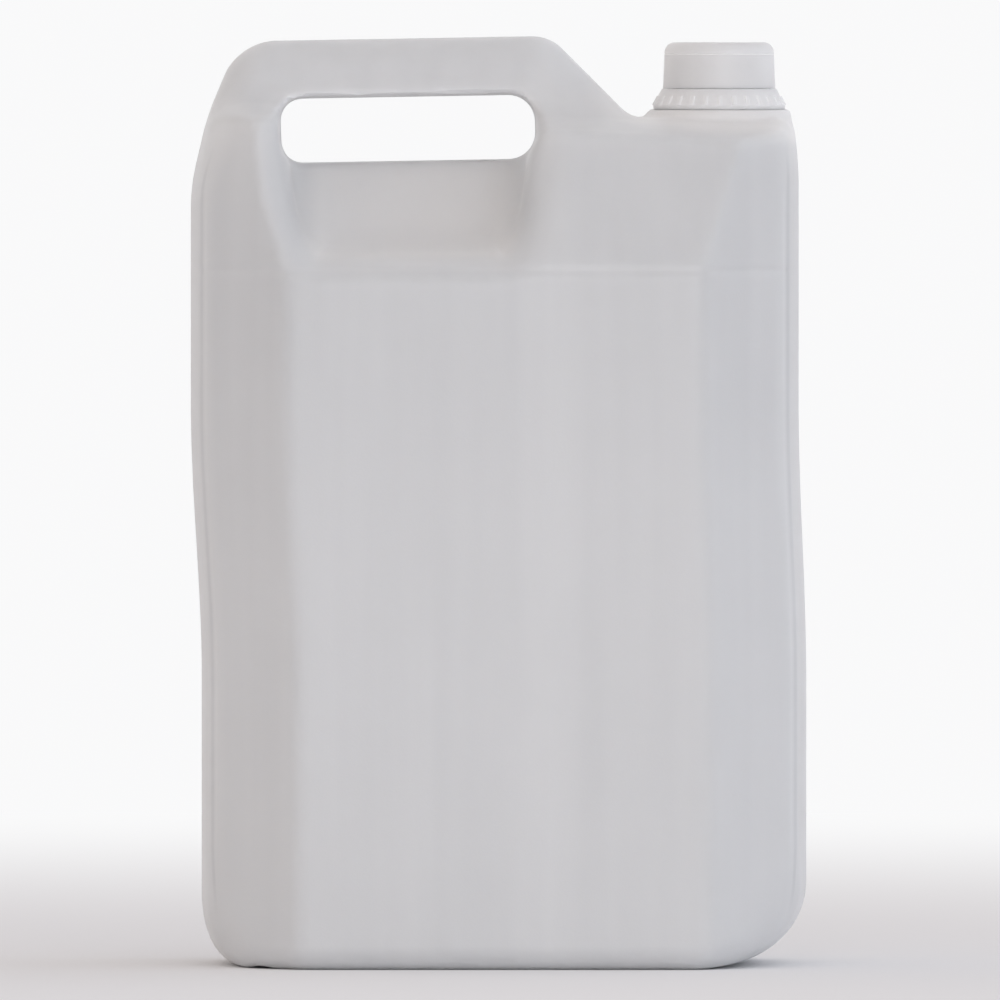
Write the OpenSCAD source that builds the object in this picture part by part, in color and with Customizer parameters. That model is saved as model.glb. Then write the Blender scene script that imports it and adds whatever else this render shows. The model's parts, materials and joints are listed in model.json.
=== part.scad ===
// Blow-moulded five-litre oil jug with a moulded-in handle, a screw cap and its tamper ring.
// The front faces -Y, +X runs from the handle to the neck, and Z is up from the base.
// The jug is a thin shell: an outer skin less the same skin set in by the wall.

/* [Body] */
// Width across the side walls of the upper half
body_width = 190; // [170:1:220]
// Depth between the front and back panels
body_depth = 120; // [100:1:140]
// Thickness of the blown wall
wall = 1.2; // [0.8:0.1:2]
// Width of each corner facet, seen from the front
facet_width = 30; // [20:1:36]
// Depth of each corner facet, seen from the side
facet_depth = 28; // [18:1:36]
// How far the facet edges are softened
facet_blend = 5; // [2:0.5:8]
// Radius along the upright edges between the facets and the side walls
side_edge = 3.5; // [2:0.5:6]
// How far the wall on the handle side stands in, in the lower half
left_step = 3.4; // [0:0.2:5]
// How far the wall on the neck side stands out, in the lower half
right_step = 2.4; // [0:0.2:5]
// Height up to which the walls stand as in the lower half
step_from = 90; // [70:1:120]
// Height from which the walls stand as in the upper half
step_to = 175; // [140:1:190]
// Radius along the front and back edges of the base
base_edge = 7; // [4:0.5:12]
// Width of the base corner on the handle side
left_corner_width = 12; // [6:1:30]
// Height of the base corner on the handle side
left_corner_height = 22; // [10:1:34]
// Width of the base corner on the neck side
right_corner_width = 28; // [10:1:40]
// Height of the base corner on the neck side
right_corner_height = 26; // [10:1:40]

/* [Shoulder] */
// Height of the crease where the front panel starts to lean back
shoulder_height = 217.5; // [195:0.5:250]
// Lean of the shoulder from upright, in degrees
shoulder_lean = 16; // [8:1:22]
// Height of the shoulder, from its lower crease to its upper one at mid width
shoulder_rise = 44; // [36:0.5:54]
// Fall of the upper crease towards the neck, in degrees
crease_fall = 2.4; // [0:0.2:4]
// Slope of the roof above the upper crease, in degrees
roof_slope = 13; // [9:1:18]
// Height of the neck's platform over the upper crease at mid width
platform_rise = 3.5; // [2:0.5:6]
// How far the two shoulder creases are softened
crease_blend = 4; // [2:0.5:8]
// Height over the lower crease at which the wall on the neck side starts to lean in
right_rise = 34; // [24:1:36]
// Lean of that wall, in degrees
right_lean = 10; // [4:1:12]

/* [Handle] */
// Height of the handle's top over the upper crease at mid width, at the neck end
handle_rise = 29; // [27:0.5:36]
// Tilt of the handle's top and its finger opening, in degrees
handle_tilt = 1; // [0:0.5:3]
// Length of the sloping end of the handle and the dip, from the top's end to the neck's axis
handle_run = 53.3; // [50:0.1:62]
// Slope of the handle's end down to the dip, in degrees
handle_fall = 45; // [40:1:50]
// Height over the lower crease at which the wall on the handle side starts to lean in
left_rise = 26; // [18:1:32]
// Lean of that wall up to the upper crease, in degrees
left_lean = 13; // [9:1:18]
// Lean of that wall above the upper crease, in degrees
left_top_lean = 23; // [18:1:30]
// Depth of the bar, from front to back, over the finger opening
bar_depth = 31; // [26:1:38]
// Height of the bar over the finger opening
bar_height = 18; // [14:0.5:20]
// Taper of the bar's two sides towards its top, in degrees
bar_taper = 18; // [10:1:24]
// Largest radius along the top of the bar
bar_top_radius = 10; // [6:0.5:10]
// Width of the handle's outer top corner
handle_corner_width = 11; // [6:1:18]
// Height of the handle's outer top corner
handle_corner_height = 7; // [4:1:12]
// Radius of the top's outline where it turns down to the dip and at the neck side
top_edge = 5; // [3:0.5:5]
// Smallest radius along the top edges, beside the neck
roof_edge = 1.5; // [1:0.5:2]
// How far the bar is blended into the roof
bar_blend = 12; // [6:1:16]

/* [Finger opening] */
// Distance from the side wall to the opening
finger_inset = 28; // [24:1:34]
// Distance from the opening to the end of the handle's top
finger_end = 4; // [3:0.5:12]
// Height of the opening
finger_height = 20.4; // [18:0.2:23]
// Corner radius of the opening on the handle side
finger_left_radius = 7; // [4:0.5:8.5]
// Corner radius of the opening on the neck side
finger_right_radius = 8.5; // [4:0.5:8.5]
// How far the moulding seam stands in round the opening
seam_reach = 1.7; // [1:0.1:3]
// Thickness of the moulding seam round the opening
seam_thickness = 5; // [4:0.5:8]
// How far the pocket's foot lies over the shoulder's lower crease
pocket_foot = 2.5; // [1:0.5:6]
// How far each side of the pocket draws in towards its foot
pocket_draw = 8; // [3:0.5:12]
// Corner radius at the pocket's foot
pocket_corner = 5; // [3:0.5:10]
// Radius of the pocket's hollow floor
pocket_hollow = 80; // [65:1:110]

/* [Neck] */
// Distance from the neck's axis to the side wall
neck_inset = 24.7; // [23.5:0.1:30]
// Diameter of the mouth
mouth_diameter = 26.8; // [24:0.2:27.2]
// Thickness of the neck's wall
neck_wall = 1.4; // [1:0.1:1.8]
// Height of the neck's rim over the platform
neck_height = 21; // [20:0.5:26]
// Diameter of the collar at the foot of the neck
collar_diameter = 44.6; // [43:0.2:46]
// Height of the collar over the platform
collar_height = 2.6; // [1.6:0.1:3.2]
// How far the locking bead stands out from the neck
bead_reach = 1.9; // [1.5:0.1:2.1]
// Height of the locking bead
bead_height = 1.8; // [1.4:0.1:2.2]
// Advance of the thread in one turn
thread_pitch = 4.2; // [3.8:0.1:5]
// Height of the thread over its wall
thread_reach = 1.05; // [0.8:0.05:1.2]
// Width of the thread at its root
thread_root = 2; // [1.6:0.1:2.2]
// Width of the thread at its crest
thread_crest = 0.9; // [0.6:0.1:1.2]
// Turns of thread on the neck
neck_turns = 1.75; // [1.25:0.25:1.75]
// Turns of thread in the cap
cap_turns = 1.25; // [1:0.25:1.5]

/* [Cap] */
// Thickness of the cap's skirt at its foot
skirt_wall = 1.4; // [1.1:0.1:2]
// Draw of the skirt from its foot to its top, on the radius
skirt_draw = 0.6; // [0.2:0.1:0.9]
// Thickness of the cap's top
cap_top = 1.5; // [1.2:0.1:2.2]
// Radius round the edge of the cap's top
cap_edge = 3.6; // [2:0.2:4]
// Thickness of the sealing wad
wad_thickness = 1.2; // [0.8:0.1:2]
// Clearance between the cap and the neck
cap_clearance = 0.35; // [0.3:0.05:0.5]

/* [Tamper ring] */
// Diameter of the ring at its widest
ring_diameter = 41.4; // [40:0.2:42.6]
// Height of the ring
ring_height = 5.9; // [5.6:0.1:6.4]
// Thickness of the ring's wall
ring_wall = 1.3; // [1:0.1:1.6]
// Number of ribs round the ring
ring_ribs = 28; // [20:1:36]
// Width of each rib
rib_width = 1.5; // [1:0.1:2]
// How far each rib stands out
rib_reach = 0.35; // [0.2:0.05:0.5]
// Gap between the ring and what it sits between
ring_gap = 0.35; // [0.3:0.05:0.6]

/* [Hidden] */

half_width = body_width / 2;
half_depth = body_depth / 2;
facet_pitch = facet_depth / facet_width;
facet_stretch = sqrt(1 + facet_pitch * facet_pitch);

// Heights and places that follow from the sizes
crease_mid = shoulder_height + shoulder_rise;
platform_z = crease_mid + platform_rise;
handle_z = crease_mid + handle_rise;
upper_x = -right_step / 2;
neck_local = half_width - neck_inset;
neck_x = neck_local + upper_x;
handle_end = neck_local - handle_run;
left_break = shoulder_height + left_rise;
crease_depth = half_depth - shoulder_rise * tan(shoulder_lean);
right_break = shoulder_height + right_rise;
knee_z = crease_mid + half_width * tan(crease_fall);

// The finger opening, in the frame of its own lower edge
finger_x = -half_width + finger_inset;
finger_length = handle_end - finger_end - finger_x;
finger_top = handle_z - bar_height;
finger_floor = finger_top - finger_height;
pocket_z = shoulder_height + pocket_foot;

// The neck, from the platform up
mouth_radius = mouth_diameter / 2;
neck_radius = mouth_radius + neck_wall;
collar_radius = collar_diameter / 2;
collar_top = platform_z + collar_height;
rim_z = platform_z + neck_height;
ring_z = collar_top + ring_gap;
ring_top = ring_z + ring_height;
bead_radius = neck_radius + bead_reach;
bead_z = ring_top - bead_height;

// The cap, from the ring up
skirt_z = ring_top + ring_gap;
cap_bore = neck_radius + thread_reach + cap_clearance;
cap_radius = cap_bore + skirt_wall;
cap_z = rim_z + wad_thickness + cap_top;
thread_clearance = 0.3;
thread_top = rim_z - thread_root;
thread_foot = thread_top - neck_turns * thread_pitch;
cap_thread_drop = (thread_root + thread_crest) / 2 + thread_clearance;
cap_start = (skirt_z + thread_root / 2 + ring_gap - thread_foot + cap_thread_drop) / thread_pitch;

// Fineness of the skins and the threads
station_step = 6;
facet_stations = [0, 0.02, 0.06, 0.12, 0.25, 0.45, 0.7, 0.9, 1, 1.1, 1.25];
round_angles = [0, 30, 60, 90];
thread_facets = 40;
round_steps = 6;
smallest_half = 0.6;
smallest_radius = 0.3;
$fn = 96;

function limit(value, low, high) = max(low, min(high, value));
function smooth_min(a, b, blend) = min(a, b) - pow(max(blend - abs(a - b), 0), 2) / (4 * blend);
function smooth_max(a, b, blend) = -smooth_min(-a, -b, blend);
function ease(share) = share * share * (3 - 2 * share);
function between(a, b, share) = a + (b - a) * share;

// Share of the lower half's stand at height z: 1 in the lower half, 0 in the upper half
function lower_share(z) = 1 - ease(limit((z - step_from) / (step_to - step_from), 0, 1));

// Upper crease of the shoulder at place x
function crease_z(x) = crease_mid - x * tan(crease_fall);

// Rise of an elliptical base corner at a distance from the side wall
function corner_rise(distance, width, height) =
    let (share = limit(1 - distance / width, 0, 1)) height * (1 - sqrt(1 - share * share));

// Side walls at height z: upright in each half, then leaning in towards the top
function leaned(z, foot_z, lean) = max(0, z - foot_z) * tan(lean);
function left_x(z, inset) = inset / cos(left_lean) - half_width + left_step * lower_share(z)
    + leaned(min(z, knee_z), left_break, left_lean) + leaned(z, knee_z, left_top_lean);
function right_x(z, inset) = half_width - inset / cos(right_lean) + right_step * lower_share(z)
    - leaned(z, right_break, right_lean);

// Place at height z that lies at a share of the way from the left wall to the right one
function place(share, z, inset) = between(left_x(z, inset), right_x(z, inset), share);

// Lowest height of the skin at a share of the width
function skin_foot(share, inset) =
    let (x = place(share, 0, inset))
    inset
    + corner_rise(x - left_x(0, inset), left_corner_width - inset, left_corner_height - inset)
    + corner_rise(right_x(0, inset) - x, right_corner_width - inset, right_corner_height - inset);

// Outline of the top at place x: the handle, the dip beside it and the neck's platform
function top_line(x, inset) =
    let (
        along = handle_z + (x - handle_end) * tan(handle_tilt) - inset / cos(handle_tilt),
        falling = handle_z - (x - handle_end) * tan(handle_fall) - inset / cos(handle_fall)
    )
    smooth_max(smooth_min(along, falling, top_edge), platform_z - inset, bar_top_radius);

// Highest height of the skin at a share of the width, with the outer corners rounded
function skin_top(share, inset) =
    let (
        first = top_line(place(share, platform_z, inset), inset),
        second = top_line(place(share, first, inset), inset),
        x = place(share, second, inset)
    )
    top_line(x, inset)
    - corner_rise(x - left_x(second, inset), handle_corner_width - inset, handle_corner_height - inset)
    - corner_rise(right_x(second, inset) - x, top_edge - inset, top_edge - inset);

// How far a rounded edge draws the skin in, at a distance from the edge's end
function rounding(distance, radius) =
    let (kept = max(radius, smallest_radius)) corner_rise(distance, kept, kept);

// Radius along the top edge: fuller on the bar than elsewhere
function edge_radius(x, top, inset) =
    max(smallest_radius, limit((top - crease_z(x)) / 2.6, roof_edge, bar_top_radius) - inset);

// Distance from place x at height z to the nearer side wall, and the half depth of the facet there
function from_side(x, z, inset) = min(x - left_x(z, inset), right_x(z, inset) - x);
function facet_half(distance, inset) =
    half_depth - facet_depth - inset * (facet_stretch - facet_pitch) + distance * facet_pitch;

// Height at which the roof meets the shoulder, or the facet beside it, at place x
function brow_z(x, inset) =
    let (
        z = crease_z(x),
        roof = crease_depth - inset / sin(roof_slope),
        shoulder = crease_depth - inset / cos(shoulder_lean)
    )
    z + (roof - min(shoulder, facet_half(from_side(x, z, inset), inset))) * tan(roof_slope);

// Height at which the bar's side rises out of the roof at place x
function bar_root_z(x) =
    let (steep = 1 / tan(roof_slope), slack = tan(bar_taper))
    (crease_depth - bar_depth / 2 + crease_z(x) * steep - finger_top * slack) / (steep - slack);

// Half depth of the skin at place x and height z, between the heights of its foot and its top
function skin_half(x, z, foot, top, inset) =
    let (
        aside = from_side(x, z, inset),
        facet = facet_half(aside, inset) - rounding(aside, side_edge - inset),
        panel = smooth_min(half_depth - inset, facet, facet_blend),
        shoulder = half_depth - (z - shoulder_height) * tan(shoulder_lean) - inset / cos(shoulder_lean),
        roof = crease_depth - (z - crease_z(x)) / tan(roof_slope) - inset / sin(roof_slope),
        bar = bar_depth / 2 - (z - finger_top) * tan(bar_taper) - inset / cos(bar_taper),
        upper = smooth_min(shoulder, smooth_max(roof, bar, bar_blend), crease_blend),
        full = smooth_min(panel, upper, crease_blend),
        top_round = rounding(top - z, edge_radius(x, top, inset)),
        foot_round = rounding(z - foot, base_edge - inset)
    )
    max(smallest_half, full - top_round - foot_round);

// Heights at which a section of the skin is worked out, from its foot to its top
function skin_heights(share, foot, top, inset) =
    let (
        base_round = base_edge - inset,
        top_round = edge_radius(place(share, top, inset), top, inset),
        crease_x = place(share, crease_mid, inset),
        over_shoulder = shoulder_height + crease_blend,
        under_top = top - top_round,
        brow = limit(brow_z(crease_x, inset), between(over_shoulder, under_top, 0.25),
                     between(over_shoulder, under_top, 0.95)),
        root = limit(bar_root_z(crease_x), between(brow, under_top, 0.4), between(brow, under_top, 0.75))
    )
    concat(
        [for (a = round_angles) foot + base_round * (1 - cos(a))],
        [for (s = [0, 0.3, 0.5, 0.7, 1]) between(step_from, step_to, s)],
        [for (s = [-1, 0]) shoulder_height + s * crease_blend],
        [for (s = [0, 0.5, 0.9]) between(over_shoulder, brow, s)],
        [for (s = [0, 0.35, 0.7]) between(brow, root, s)],
        [for (s = [0, 0.5]) between(root, under_top, s)],
        [for (a = round_angles) under_top + top_round * sin(a)]
    );

// Shares of the width at which the skin is worked out
function skin_shares() =
    let (
        facet = facet_width / body_width,
        inner = facet * facet_stations[len(facet_stations) - 1],
        steps = ceil((1 - 2 * inner) * body_width / station_step)
    )
    concat(
        [for (s = facet_stations) facet * s],
        [for (i = [1 : steps - 1]) between(inner, 1 - inner, i / steps)],
        [for (i = [len(facet_stations) - 1 : -1 : 0]) 1 - facet * facet_stations[i]]
    );

// One section of the skin at a share of the width: up the front and down the back
function skin_section(share, inset) =
    let (
        foot = skin_foot(share, inset),
        top = skin_top(share, inset),
        heights = skin_heights(share, foot, top, inset),
        front = [
            for (z = heights)
                let (x = place(share, z, inset))
                [x + upper_x, -skin_half(x, z, foot, top, inset), z]
        ]
    )
    concat(front, [for (i = [len(front) - 1 : -1 : 0]) [front[i][0], -front[i][1], front[i][2]]]);

// Triangles of a tube of sections with count points each, closed at both ends by strips across it
function tube_sides(sections, count) = [
    for (i = [0 : sections - 2], k = [0 : count - 1])
        let (a = i * count + k, b = i * count + (k + 1) % count)
        each [[a, b, b + count], [a, b + count, a + count]]
];
function strip_end(first, count) = [
    for (j = [0 : count / 2 - 2])
        let (a = first + j, b = first + count - 1 - j)
        each [[b, b - 1, a + 1], [b, a + 1, a]]
];
function flipped(faces) = [for (f = faces) [f[2], f[1], f[0]]];

// Outer skin of the jug, or with an inset the inner one, as one closed body
module skin(inset) {
    sections = [for (share = skin_shares()) skin_section(share, inset)];
    count = len(sections[0]);
    last = (len(sections) - 1) * count;
    faces = concat(tube_sides(len(sections), count), strip_end(0, count), flipped(strip_end(last, count)));
    polyhedron([for (s = sections) each s], faces);
}

// Outline with round corners: each corner is [x, y, radius], in counterclockwise order
function round_outline(corners) = [
    for (i = [0 : len(corners) - 1])
        let (
            here = [corners[i][0], corners[i][1]],
            before = corners[(i + len(corners) - 1) % len(corners)],
            after = corners[(i + 1) % len(corners)],
            to_before = [before[0], before[1]] - here,
            to_after = [after[0], after[1]] - here,
            u = to_before / norm(to_before),
            v = to_after / norm(to_after),
            half = acos(limit(u * v, -1, 1)) / 2,
            centre = here + (u + v) / norm(u + v) * corners[i][2] / sin(half),
            turn = 180 - 2 * half,
            start = atan2(-v[1], -v[0]) + 90 - turn
        )
        each [for (k = [0 : round_steps])
            centre - corners[i][2] * [cos(start + 180 + turn * k / round_steps),
                                      sin(start + 180 + turn * k / round_steps)]]
];

// Stands an outline up from the opening's lower left corner, with a depth from y = from to y = to
module upright(outline, from, to) {
    translate([finger_x + upper_x, to, finger_floor - finger_length * sin(handle_tilt)])
        rotate([90, 0, 0])
        rotate(handle_tilt)
        linear_extrude(to - from)
        polygon(round_outline(outline));
}

// Finger opening right through the moulding seam, grown on all sides by an amount
module finger_slot(grow) {
    reach = half_depth + top_edge;
    left = finger_left_radius + grow;
    right = finger_right_radius + grow;
    upright([
        [-grow, -grow, left],
        [finger_length + grow, -grow, right],
        [finger_length + grow, finger_height + grow, right],
        [-grow, finger_height + grow, left]
    ], -reach, reach);
}

// Hollow for the hand in front of the seam, grown on all sides by an amount
module hand_pocket(grow) {
    reach = half_depth + top_edge;
    seam = seam_thickness / 2;
    out = seam_reach + grow;
    foot = pocket_z - finger_floor - grow;
    // The floor is hollowed from the seam under the opening out to the pocket's foot
    run = half_depth - seam;
    drop = finger_floor - pocket_z;
    chord = sqrt(run * run + drop * drop);
    lift = sqrt(pocket_hollow * pocket_hollow - chord * chord / 4) / chord;
    axis_y = -(seam + run / 2 + drop * lift);
    axis_z = finger_floor - drop / 2 + run * lift;
    intersection() {
        upright([
            [pocket_draw - out, foot, pocket_corner + grow],
            [finger_length + out - pocket_draw, foot, pocket_corner + grow],
            [finger_length + out, finger_height + out, finger_right_radius + out],
            [-out, finger_height + out, finger_left_radius + out]
        ], -reach, grow - seam);
        translate([0, axis_y, axis_z]) rotate([0, 90, 0])
            cylinder(r = pocket_hollow + grow, h = body_width, center = true);
    }
}

module finger_opening(grow) {
    finger_slot(grow);
    hand_pocket(grow);
    mirror([0, 1, 0]) hand_pocket(grow);
}

// Helical ridge standing out of a wall (reach over 0) or into a bore (reach under 0), between two
// counts of turns along one helix
module thread(radius, reach, foot, from, to) {
    steps = ceil((to - from) * thread_facets);
    sunk = reach > 0 ? -0.5 : 0.5;
    run_out = thread_facets / 6;
    rings = [
        for (i = [0 : steps])
            let (
                turn = from + i / thread_facets,
                angle = 360 * turn,
                z = foot + thread_pitch * turn,
                grown = max(0.05, min(1, i / run_out, (steps - i) / run_out)),
                crest = radius + reach * grown
            )
            [for (p = [[radius + sunk, -thread_root], [crest, -thread_crest], [crest, thread_crest],
                       [radius + sunk, thread_root]])
                [p[0] * cos(angle), p[0] * sin(angle), z + p[1] / 2]]
    ];
    sides = tube_sides(steps + 1, 4);
    ends = concat([[0, 3, 2], [0, 2, 1]],
                  [for (f = [[0, 1, 2], [0, 2, 3]]) [for (i = f) i + 4 * steps]]);
    faces = concat(sides, ends);
    polyhedron([for (r = rings) each r], reach > 0 ? faces : flipped(faces));
}

// Outside of the neck: a collar on the platform, a locking bead and the threaded tube
module neck() {
    soft = collar_height * 0.5;
    lip = neck_wall * 0.4;
    rotate_extrude() polygon([
        [mouth_radius - neck_wall, platform_z - top_edge],
        [collar_radius, platform_z - top_edge],
        [collar_radius, collar_top - soft],
        [collar_radius - soft, collar_top],
        [neck_radius, collar_top],
        [neck_radius, bead_z - bead_reach],
        [bead_radius, bead_z],
        [bead_radius, bead_z + bead_height * 0.4],
        [neck_radius, ring_top],
        [neck_radius, rim_z - lip],
        [neck_radius - lip, rim_z],
        [mouth_radius - neck_wall, rim_z]
    ]);
    thread(neck_radius, thread_reach, thread_foot, 0, neck_turns);
}

// Inside of the neck: the mouth, widening under the collar
module neck_bore() {
    under = platform_z - top_edge * 2;
    inside = collar_radius - wall - collar_height;
    rotate_extrude() polygon([
        [0, under], [inside, under], [inside, platform_z - wall],
        [mouth_radius, platform_z + collar_height - wall], [mouth_radius, rim_z + 1], [0, rim_z + 1]
    ]);
}

module bottle() {
    color([0.78, 0.78, 0.8])
    difference() {
        union() {
            difference() {
                skin(0);
                finger_opening(0);
            }
            translate([neck_x, 0, 0]) neck();
        }
        difference() {
            skin(wall);
            finger_opening(wall);
        }
        translate([neck_x, 0, 0]) neck_bore();
    }
}

// Screw cap: a drawn skirt with a round top edge, threaded inside
module cap() {
    top_radius = cap_radius - skirt_draw;
    color([0.84, 0.84, 0.85])
    translate([neck_x, 0, 0]) {
        rotate_extrude() polygon(concat(
            [[cap_bore, skirt_z], [cap_radius, skirt_z]],
            [for (k = [0 : round_steps])
                let (a = 90 * k / round_steps)
                [top_radius - cap_edge * (1 - cos(a)), cap_z - cap_edge * (1 - sin(a))]],
            [[0, cap_z], [0, cap_z - cap_top], [cap_bore, cap_z - cap_top]]
        ));
        thread(cap_bore, -thread_reach, thread_foot - cap_thread_drop, cap_start, cap_start + cap_turns);
    }
}

// Tamper ring left on the neck under its bead, ribbed on the outside
module tamper_ring() {
    foot_radius = ring_diameter / 2;
    top_radius = cap_radius + ring_gap;
    widest = ring_z + ring_height * 0.2;
    lip_z = bead_z - bead_reach - ring_gap;
    lip_radius = neck_radius + ring_gap * 2;
    rib_length = (ring_top - widest) * 0.6;
    rib_root = ring_wall * 0.5;
    taper = atan((foot_radius - top_radius) / (ring_top - widest));
    color([0.82, 0.82, 0.84])
    translate([neck_x, 0, 0]) {
        rotate_extrude() polygon([
            [foot_radius - ring_wall, ring_z],
            [foot_radius - ring_wall * 0.3, ring_z],
            [foot_radius, widest],
            [top_radius, ring_top],
            [bead_radius + ring_gap, ring_top],
            [bead_radius + ring_gap, lip_z + ring_wall * 0.5],
            [lip_radius, lip_z],
            [lip_radius, lip_z - ring_wall * 0.6],
            [foot_radius - ring_wall, ring_z + ring_wall * 0.4]
        ]);
        for (i = [0 : ring_ribs - 1])
            rotate(360 * i / ring_ribs)
            translate([foot_radius, 0, widest])
            rotate([0, -taper, 0])
            translate([-rib_root, -rib_width / 2, 0])
            cube([rib_root + rib_reach, rib_width, rib_length]);
    }
}

// Foam disc between the cap and the neck's rim
module sealing_wad() {
    color([0.9, 0.9, 0.88])
    translate([neck_x, 0, rim_z]) cylinder(r = cap_bore - cap_clearance, h = wad_thickness);
}

bottle();
cap();
tamper_ring();
sealing_wad();
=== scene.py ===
"""Looks of an oil jug: a blow-moulded shell of natural polyethylene, its screw cap, tamper ring and wad.

Shapes are worked out in millimetres in the part's own frame and become meshes in metres.
"""

import json
import math

import bmesh
import bpy
import numpy as np
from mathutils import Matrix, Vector


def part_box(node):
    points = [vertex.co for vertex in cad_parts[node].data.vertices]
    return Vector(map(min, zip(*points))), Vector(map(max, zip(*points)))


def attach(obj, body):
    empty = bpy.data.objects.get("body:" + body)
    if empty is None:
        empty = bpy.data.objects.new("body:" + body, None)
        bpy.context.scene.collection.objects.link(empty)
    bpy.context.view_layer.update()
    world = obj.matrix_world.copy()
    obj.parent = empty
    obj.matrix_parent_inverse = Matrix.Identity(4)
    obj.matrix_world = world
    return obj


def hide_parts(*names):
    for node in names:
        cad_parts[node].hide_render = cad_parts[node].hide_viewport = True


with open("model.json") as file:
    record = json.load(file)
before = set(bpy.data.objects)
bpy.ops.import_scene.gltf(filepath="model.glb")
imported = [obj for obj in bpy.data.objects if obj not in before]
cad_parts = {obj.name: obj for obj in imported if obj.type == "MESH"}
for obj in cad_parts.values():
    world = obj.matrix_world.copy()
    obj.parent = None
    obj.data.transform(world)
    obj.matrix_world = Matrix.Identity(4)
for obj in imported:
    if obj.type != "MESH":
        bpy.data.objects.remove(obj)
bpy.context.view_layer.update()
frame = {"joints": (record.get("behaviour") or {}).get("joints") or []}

MM = 0.001


def node_box(node):
    """Lowest and highest corner of a node of the frame, in millimetres."""
    return [np.array(corner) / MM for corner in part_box(node)]


# Places that the frame gives
jug_low, jug_high = node_box("bottle")
cap_low, cap_high = node_box("cap")
ring_low, ring_high = node_box("tamper_ring")
wad_low, wad_high = node_box("sealing_wad")
cap_turn = next(joint for joint in frame["joints"] if joint["name"] == "cap_turn")
NECK_X = cap_turn["pos_m"][0] / MM
RIM_Z = wad_low[2]

# Body: side walls, corner facets and base
WALL = 1.2
LEFT_STEP, RIGHT_STEP = 3.4, 2.4
STEP_FROM, STEP_TO = 90.0, 175.0
HALF_WIDTH = (jug_high[0] - jug_low[0] - RIGHT_STEP) / 2
UPPER_X = jug_high[0] - RIGHT_STEP - HALF_WIDTH
HALF_DEPTH = jug_high[1]
FACET_WIDTH, FACET_DEPTH = 30.0, 28.0
FACET_BLEND, SIDE_EDGE, BASE_EDGE = 2.4, 3.5, 7.0
LEFT_CORNER, RIGHT_CORNER = (12.0, 22.0), (28.0, 26.0)
BASE_EDGE_RUN, TOP_EDGE_RUN = (14.0, 40.0), (240.0, 272.0)
BASE_HOLLOW, HOLLOW_ACROSS, HOLLOW_DEEP = 1.6, (5.2, 13.0), (13.0, 22.1)
WELD_HEIGHT, WELD_WIDTH = 1.1, 1.1
PANEL_SINK = 0.7
BROAD_WAVE, BROAD_SIZE, BROAD_START = 0.18, (23.0, 41.0), (13.8, 45.1)
FINE_WAVE, FINE_SIZE = 0.1, (9.5, 160.0)
SIDE_CROWN = 2.8
EDGE_GROOVE, EDGE_GROOVE_WIDTH = 0.3, 0.8
EDGE_GROOVE_LOW, EDGE_GROOVE_HIGH = (20.0, 50.0), (235.0, 250.0)
PARTING_HEIGHT, PARTING_WIDTH, PARTING_FOOT = 0.22, 0.5, (0.5, 4.0)

# Shoulder and roof
SHOULDER_Z, SHOULDER_LEAN = 217.5, math.radians(16)
CREASE_Z, CREASE_FALL = 261.5, math.radians(2.4)
CREASE_DEPTH = HALF_DEPTH - (CREASE_Z - SHOULDER_Z) * math.tan(SHOULDER_LEAN)
ROOF_SLOPE, PLATFORM_Z = math.radians(13), 265.0
LOWER_CREASE_BLEND, UPPER_CREASE_BLEND = 1.2, 3.2
GROOVE_DEPTH, GROOVE_WIDTH = 0.28, 1.1

# Handle, with its leaning outer end and its sloping inner end
LEFT_BREAK, LEFT_LEAN, LEFT_TOP_LEAN = 243.5, math.radians(13), math.radians(23)
KNEE_Z = CREASE_Z + HALF_WIDTH * math.tan(CREASE_FALL)
RIGHT_BREAK, RIGHT_LEAN = 251.5, math.radians(10)
LEAN_BLEND = 7.0
HANDLE_Z, HANDLE_END, HANDLE_TILT, HANDLE_FALL = 290.5, 17.0, math.radians(1), math.radians(45)
HANDLE_TURN, DIP_ROUND = 4.0, 2.8
BAR_HALF, BAR_TAPER, BAR_ROOT = 15.5, math.radians(18), 9.0
BAR_ROUND, ROOF_ROUND, NECK_SIDE_ROUND = 10.0, 2.0, 5.0
BAR_STAND = 2.6  # height of the bar over the crease for each millimetre of its rounding

# Finger opening and the hand pockets in front of it and behind it
FINGER_X, FINGER_LENGTH, FINGER_HEIGHT = -67.0, 80.0, 20.4
FINGER_TOP = HANDLE_Z - 18.0
FINGER_FLOOR = FINGER_TOP - FINGER_HEIGHT
FINGER_LEFT_ROUND, FINGER_RIGHT_ROUND = 7.0, 8.5
SEAM_REACH, SEAM_HALF, SEAM_ROUND = 0.2, 2.5, 1.0
POCKET_FOOT, POCKET_DRAW, POCKET_CORNER, POCKET_HOLLOW = 218.6, 8.0, 5.0, 80.0
POCKET_ROUND, POCKET_RIM, POCKET_TOP_RIM = 14.0, 15.0, 2.4

# Neck: collar, tube with its bead, and thread
COLLAR_RADIUS, COLLAR_ROUND, COLLAR_FILLET, COLLAR_SUNK = 22.3, 1.7, 3.0, 12.0
RING_GAP = 0.35
COLLAR_TOP = ring_low[2] - RING_GAP
MOUTH_RADIUS, NECK_WALL, NECK_SUNK, RIM_ROUND = 13.4, 1.4, 4.0, 0.5
NECK_RADIUS = MOUTH_RADIUS + NECK_WALL
BORE_SUNK, BORE_ROUND, BORE_PAST = 10.0, 2.0, 1.0
BEAD_REACH, BEAD_HEIGHT, BEAD_LAND = 1.9, 1.8, 0.72
BEAD_ROOT_ROUND, BEAD_LOW_ROUND, BEAD_TOP_ROUND = 0.3, 0.35, 0.4
THREAD_PITCH, THREAD_REACH, THREAD_ROOT, THREAD_CREST = 4.2, 1.05, 2.0, 0.9
THREAD_SUNK, THREAD_ROUND, THREAD_STEPS, THREAD_RUN_OUT, THREAD_TIP = 0.5, 0.3, 72, 6, 0.05
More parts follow.
